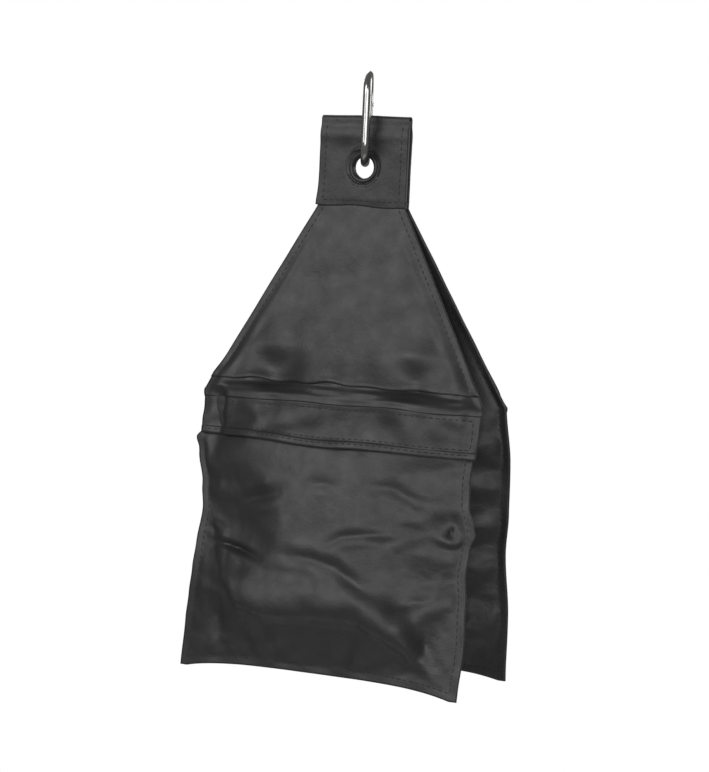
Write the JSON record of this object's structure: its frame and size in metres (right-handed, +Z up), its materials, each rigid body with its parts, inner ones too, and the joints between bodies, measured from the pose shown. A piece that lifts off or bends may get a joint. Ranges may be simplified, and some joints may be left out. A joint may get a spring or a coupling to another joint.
{
  "type": "counterweight sandbag",
  "caption": "Saddle-style counterweight sandbag for a boom arm: sand-filled fabric pouches with hook-and-loop flaps, hung from an eyelet tab on a sprung steel snap hook.",
  "frame": {"origin": "centre of the snap hook's upper bend, where the part hangs from a ring", "axes": "+Z up, +X across the bag's width, and -Y the way the front pouch faces"},
  "size_m": [0.16, 0.096, 0.3177],
  "materials": {
    "hook_steel": "satin",
    "pin_steel": "satin",
    "spring_steel": "satin",
    "nylon": "matte",
    "webbing": "matte",
    "black_eyelet": "satin",
    "thread": "matte",
    "loop_tape": "matte",
    "hook_tape": "matte",
    "clear_film": "gloss",
    "sand": "matte"
  },
  "bodies": {
    "hook": {"hook_body": "hook_steel", "hook_gate_rivet": "pin_steel"},
    "gate": {"hook_gate": "hook_steel", "hook_latch_pin": "pin_steel", "hook_gate_plunger": "pin_steel", "hook_gate_spring": "spring_steel"},
    "tab": {"tab_sleeve": "nylon", "tab_core": "webbing", "eyelet": "black_eyelet", "eyelet_washer": "black_eyelet", "tab_stitching": "thread"},
    "front_half": {"front_yoke": "nylon", "front_lining": "nylon", "front_pouch_panel": "nylon", "front_loop_tape": "loop_tape", "front_sand_liner": "clear_film", "front_sand": "sand", "front_edge_stitching": "thread"},
    "front_flap": {"front_flap": "nylon", "front_hook_tape": "hook_tape", "front_flap_stitching": "thread"},
    "back_half": {"back_yoke": "nylon", "back_lining": "nylon", "back_pouch_panel": "nylon", "back_loop_tape": "loop_tape", "back_sand_liner": "clear_film", "back_sand": "sand", "back_edge_stitching": "thread"},
    "back_flap": {"back_flap": "nylon", "back_hook_tape": "hook_tape", "back_flap_stitching": "thread"}
  },
  "joints": [
    {"name": "gate_swing", "type": "hinge", "parent": "hook", "child": "gate", "pos_m": [-0.00384, 0.0095, -0.021], "axis": [0.9272, 0.3746, 0], "range_deg": [0, 16], "stiffness_Nm_per_rad": 0.08, "springref_deg": -20.05},
    {"name": "bag_sway", "type": "hinge", "parent": "hook", "child": "tab", "pos_m": [0, 0, -0.03525], "axis": [0, 1, 0], "range_deg": [-75, 75]},
    {"name": "front_half_swing", "type": "hinge", "parent": "tab", "child": "front_half", "pos_m": [0, -0.0018, -0.05825], "axis": [-1, 0, 0], "range_deg": [0, 80]},
    {"name": "back_half_swing", "type": "hinge", "parent": "tab", "child": "back_half", "pos_m": [0, 0.0018, -0.05825], "axis": [1, 0, 0], "range_deg": [0, 80]},
    {"name": "front_flap_open", "type": "hinge", "parent": "front_half", "child": "front_flap", "pos_m": [0, -0.02778, -0.15668], "axis": [-1, 0, 0], "range_deg": [0, 110]},
    {"name": "back_flap_open", "type": "hinge", "parent": "back_half", "child": "back_flap", "pos_m": [0, 0.02778, -0.15668], "axis": [1, 0, 0], "range_deg": [0, 110]}
  ]
}
